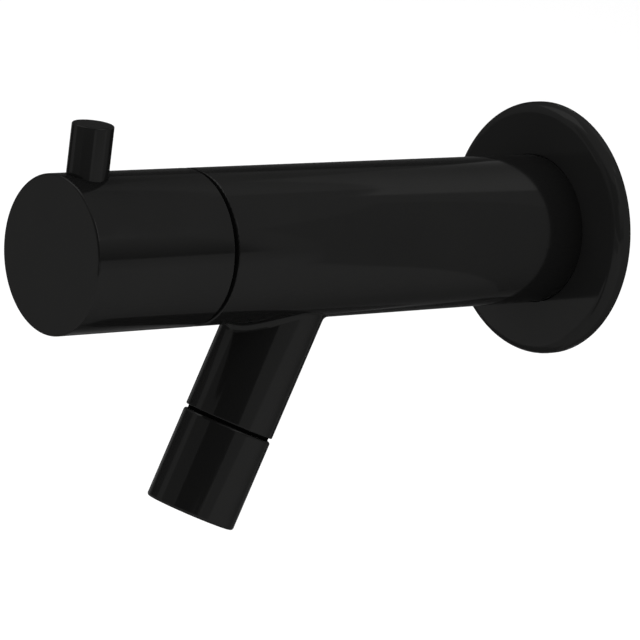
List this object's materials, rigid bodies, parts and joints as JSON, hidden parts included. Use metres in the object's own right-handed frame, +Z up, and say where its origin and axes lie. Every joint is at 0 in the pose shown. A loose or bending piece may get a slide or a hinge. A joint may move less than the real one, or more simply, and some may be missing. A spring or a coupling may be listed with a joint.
{
  "type": "wall-mounted basin tap",
  "caption": "Black wall-mounted basin tap: round barrel on a wall rose, quarter-turn knob with a pin lever at its front end, short slanted spout with an aerator.",
  "frame": {"origin": "on the tap's axis in the plane of the wall, at the centre of the rose's back", "axes": "+Y along the tap's axis into the wall, the tap points out along -Y; +Z up; +X to the right of someone who faces the wall"},
  "size_m": [0.065, 0.171, 0.104],
  "materials": {
    "black_plating": "gloss",
    "bare_brass": "satin",
    "steel": "satin",
    "black_rubber": "matte",
    "red_silicone": "matte",
    "grey_foam": "matte",
    "fibre": "matte",
    "white_ceramic": "gloss",
    "black_plastic": "satin",
    "white_plastic": "satin",
    "grey_plastic": "satin"
  },
  "bodies": {
    "fixed_body": {"tap_body": "black_plating", "wall_rose": "black_plating", "rose_o_ring": "black_rubber", "rose_gasket": "grey_foam", "inlet_nipple": "bare_brass", "inlet_washer": "fibre", "headwork_body": "bare_brass", "headwork_washer": "fibre", "seat_seal": "red_silicone", "fixed_disc": "white_ceramic", "guide_sleeve": "black_plastic", "nozzle": "black_plating", "nozzle_washer": "black_rubber", "aerator_shell": "grey_plastic", "aerator_jet_plate": "white_plastic"},
    "handle": {"moving_disc": "white_ceramic", "spindle": "bare_brass", "spindle_o_rings": "black_rubber", "spindle_washer": "white_plastic", "spindle_circlip": "steel", "spline_adaptor": "bare_brass", "adaptor_screw": "steel", "knob": "black_plating", "knob_grub_screw": "steel", "lever_pin": "black_plating", "lever_stud": "steel"}
  },
  "joints": [
    {"name": "handle_turn", "type": "hinge", "parent": "fixed_body", "child": "handle", "pos_m": [0, -0.1358, 0], "axis": [0, -1, 0], "range_deg": [0, 90]}
  ]
}
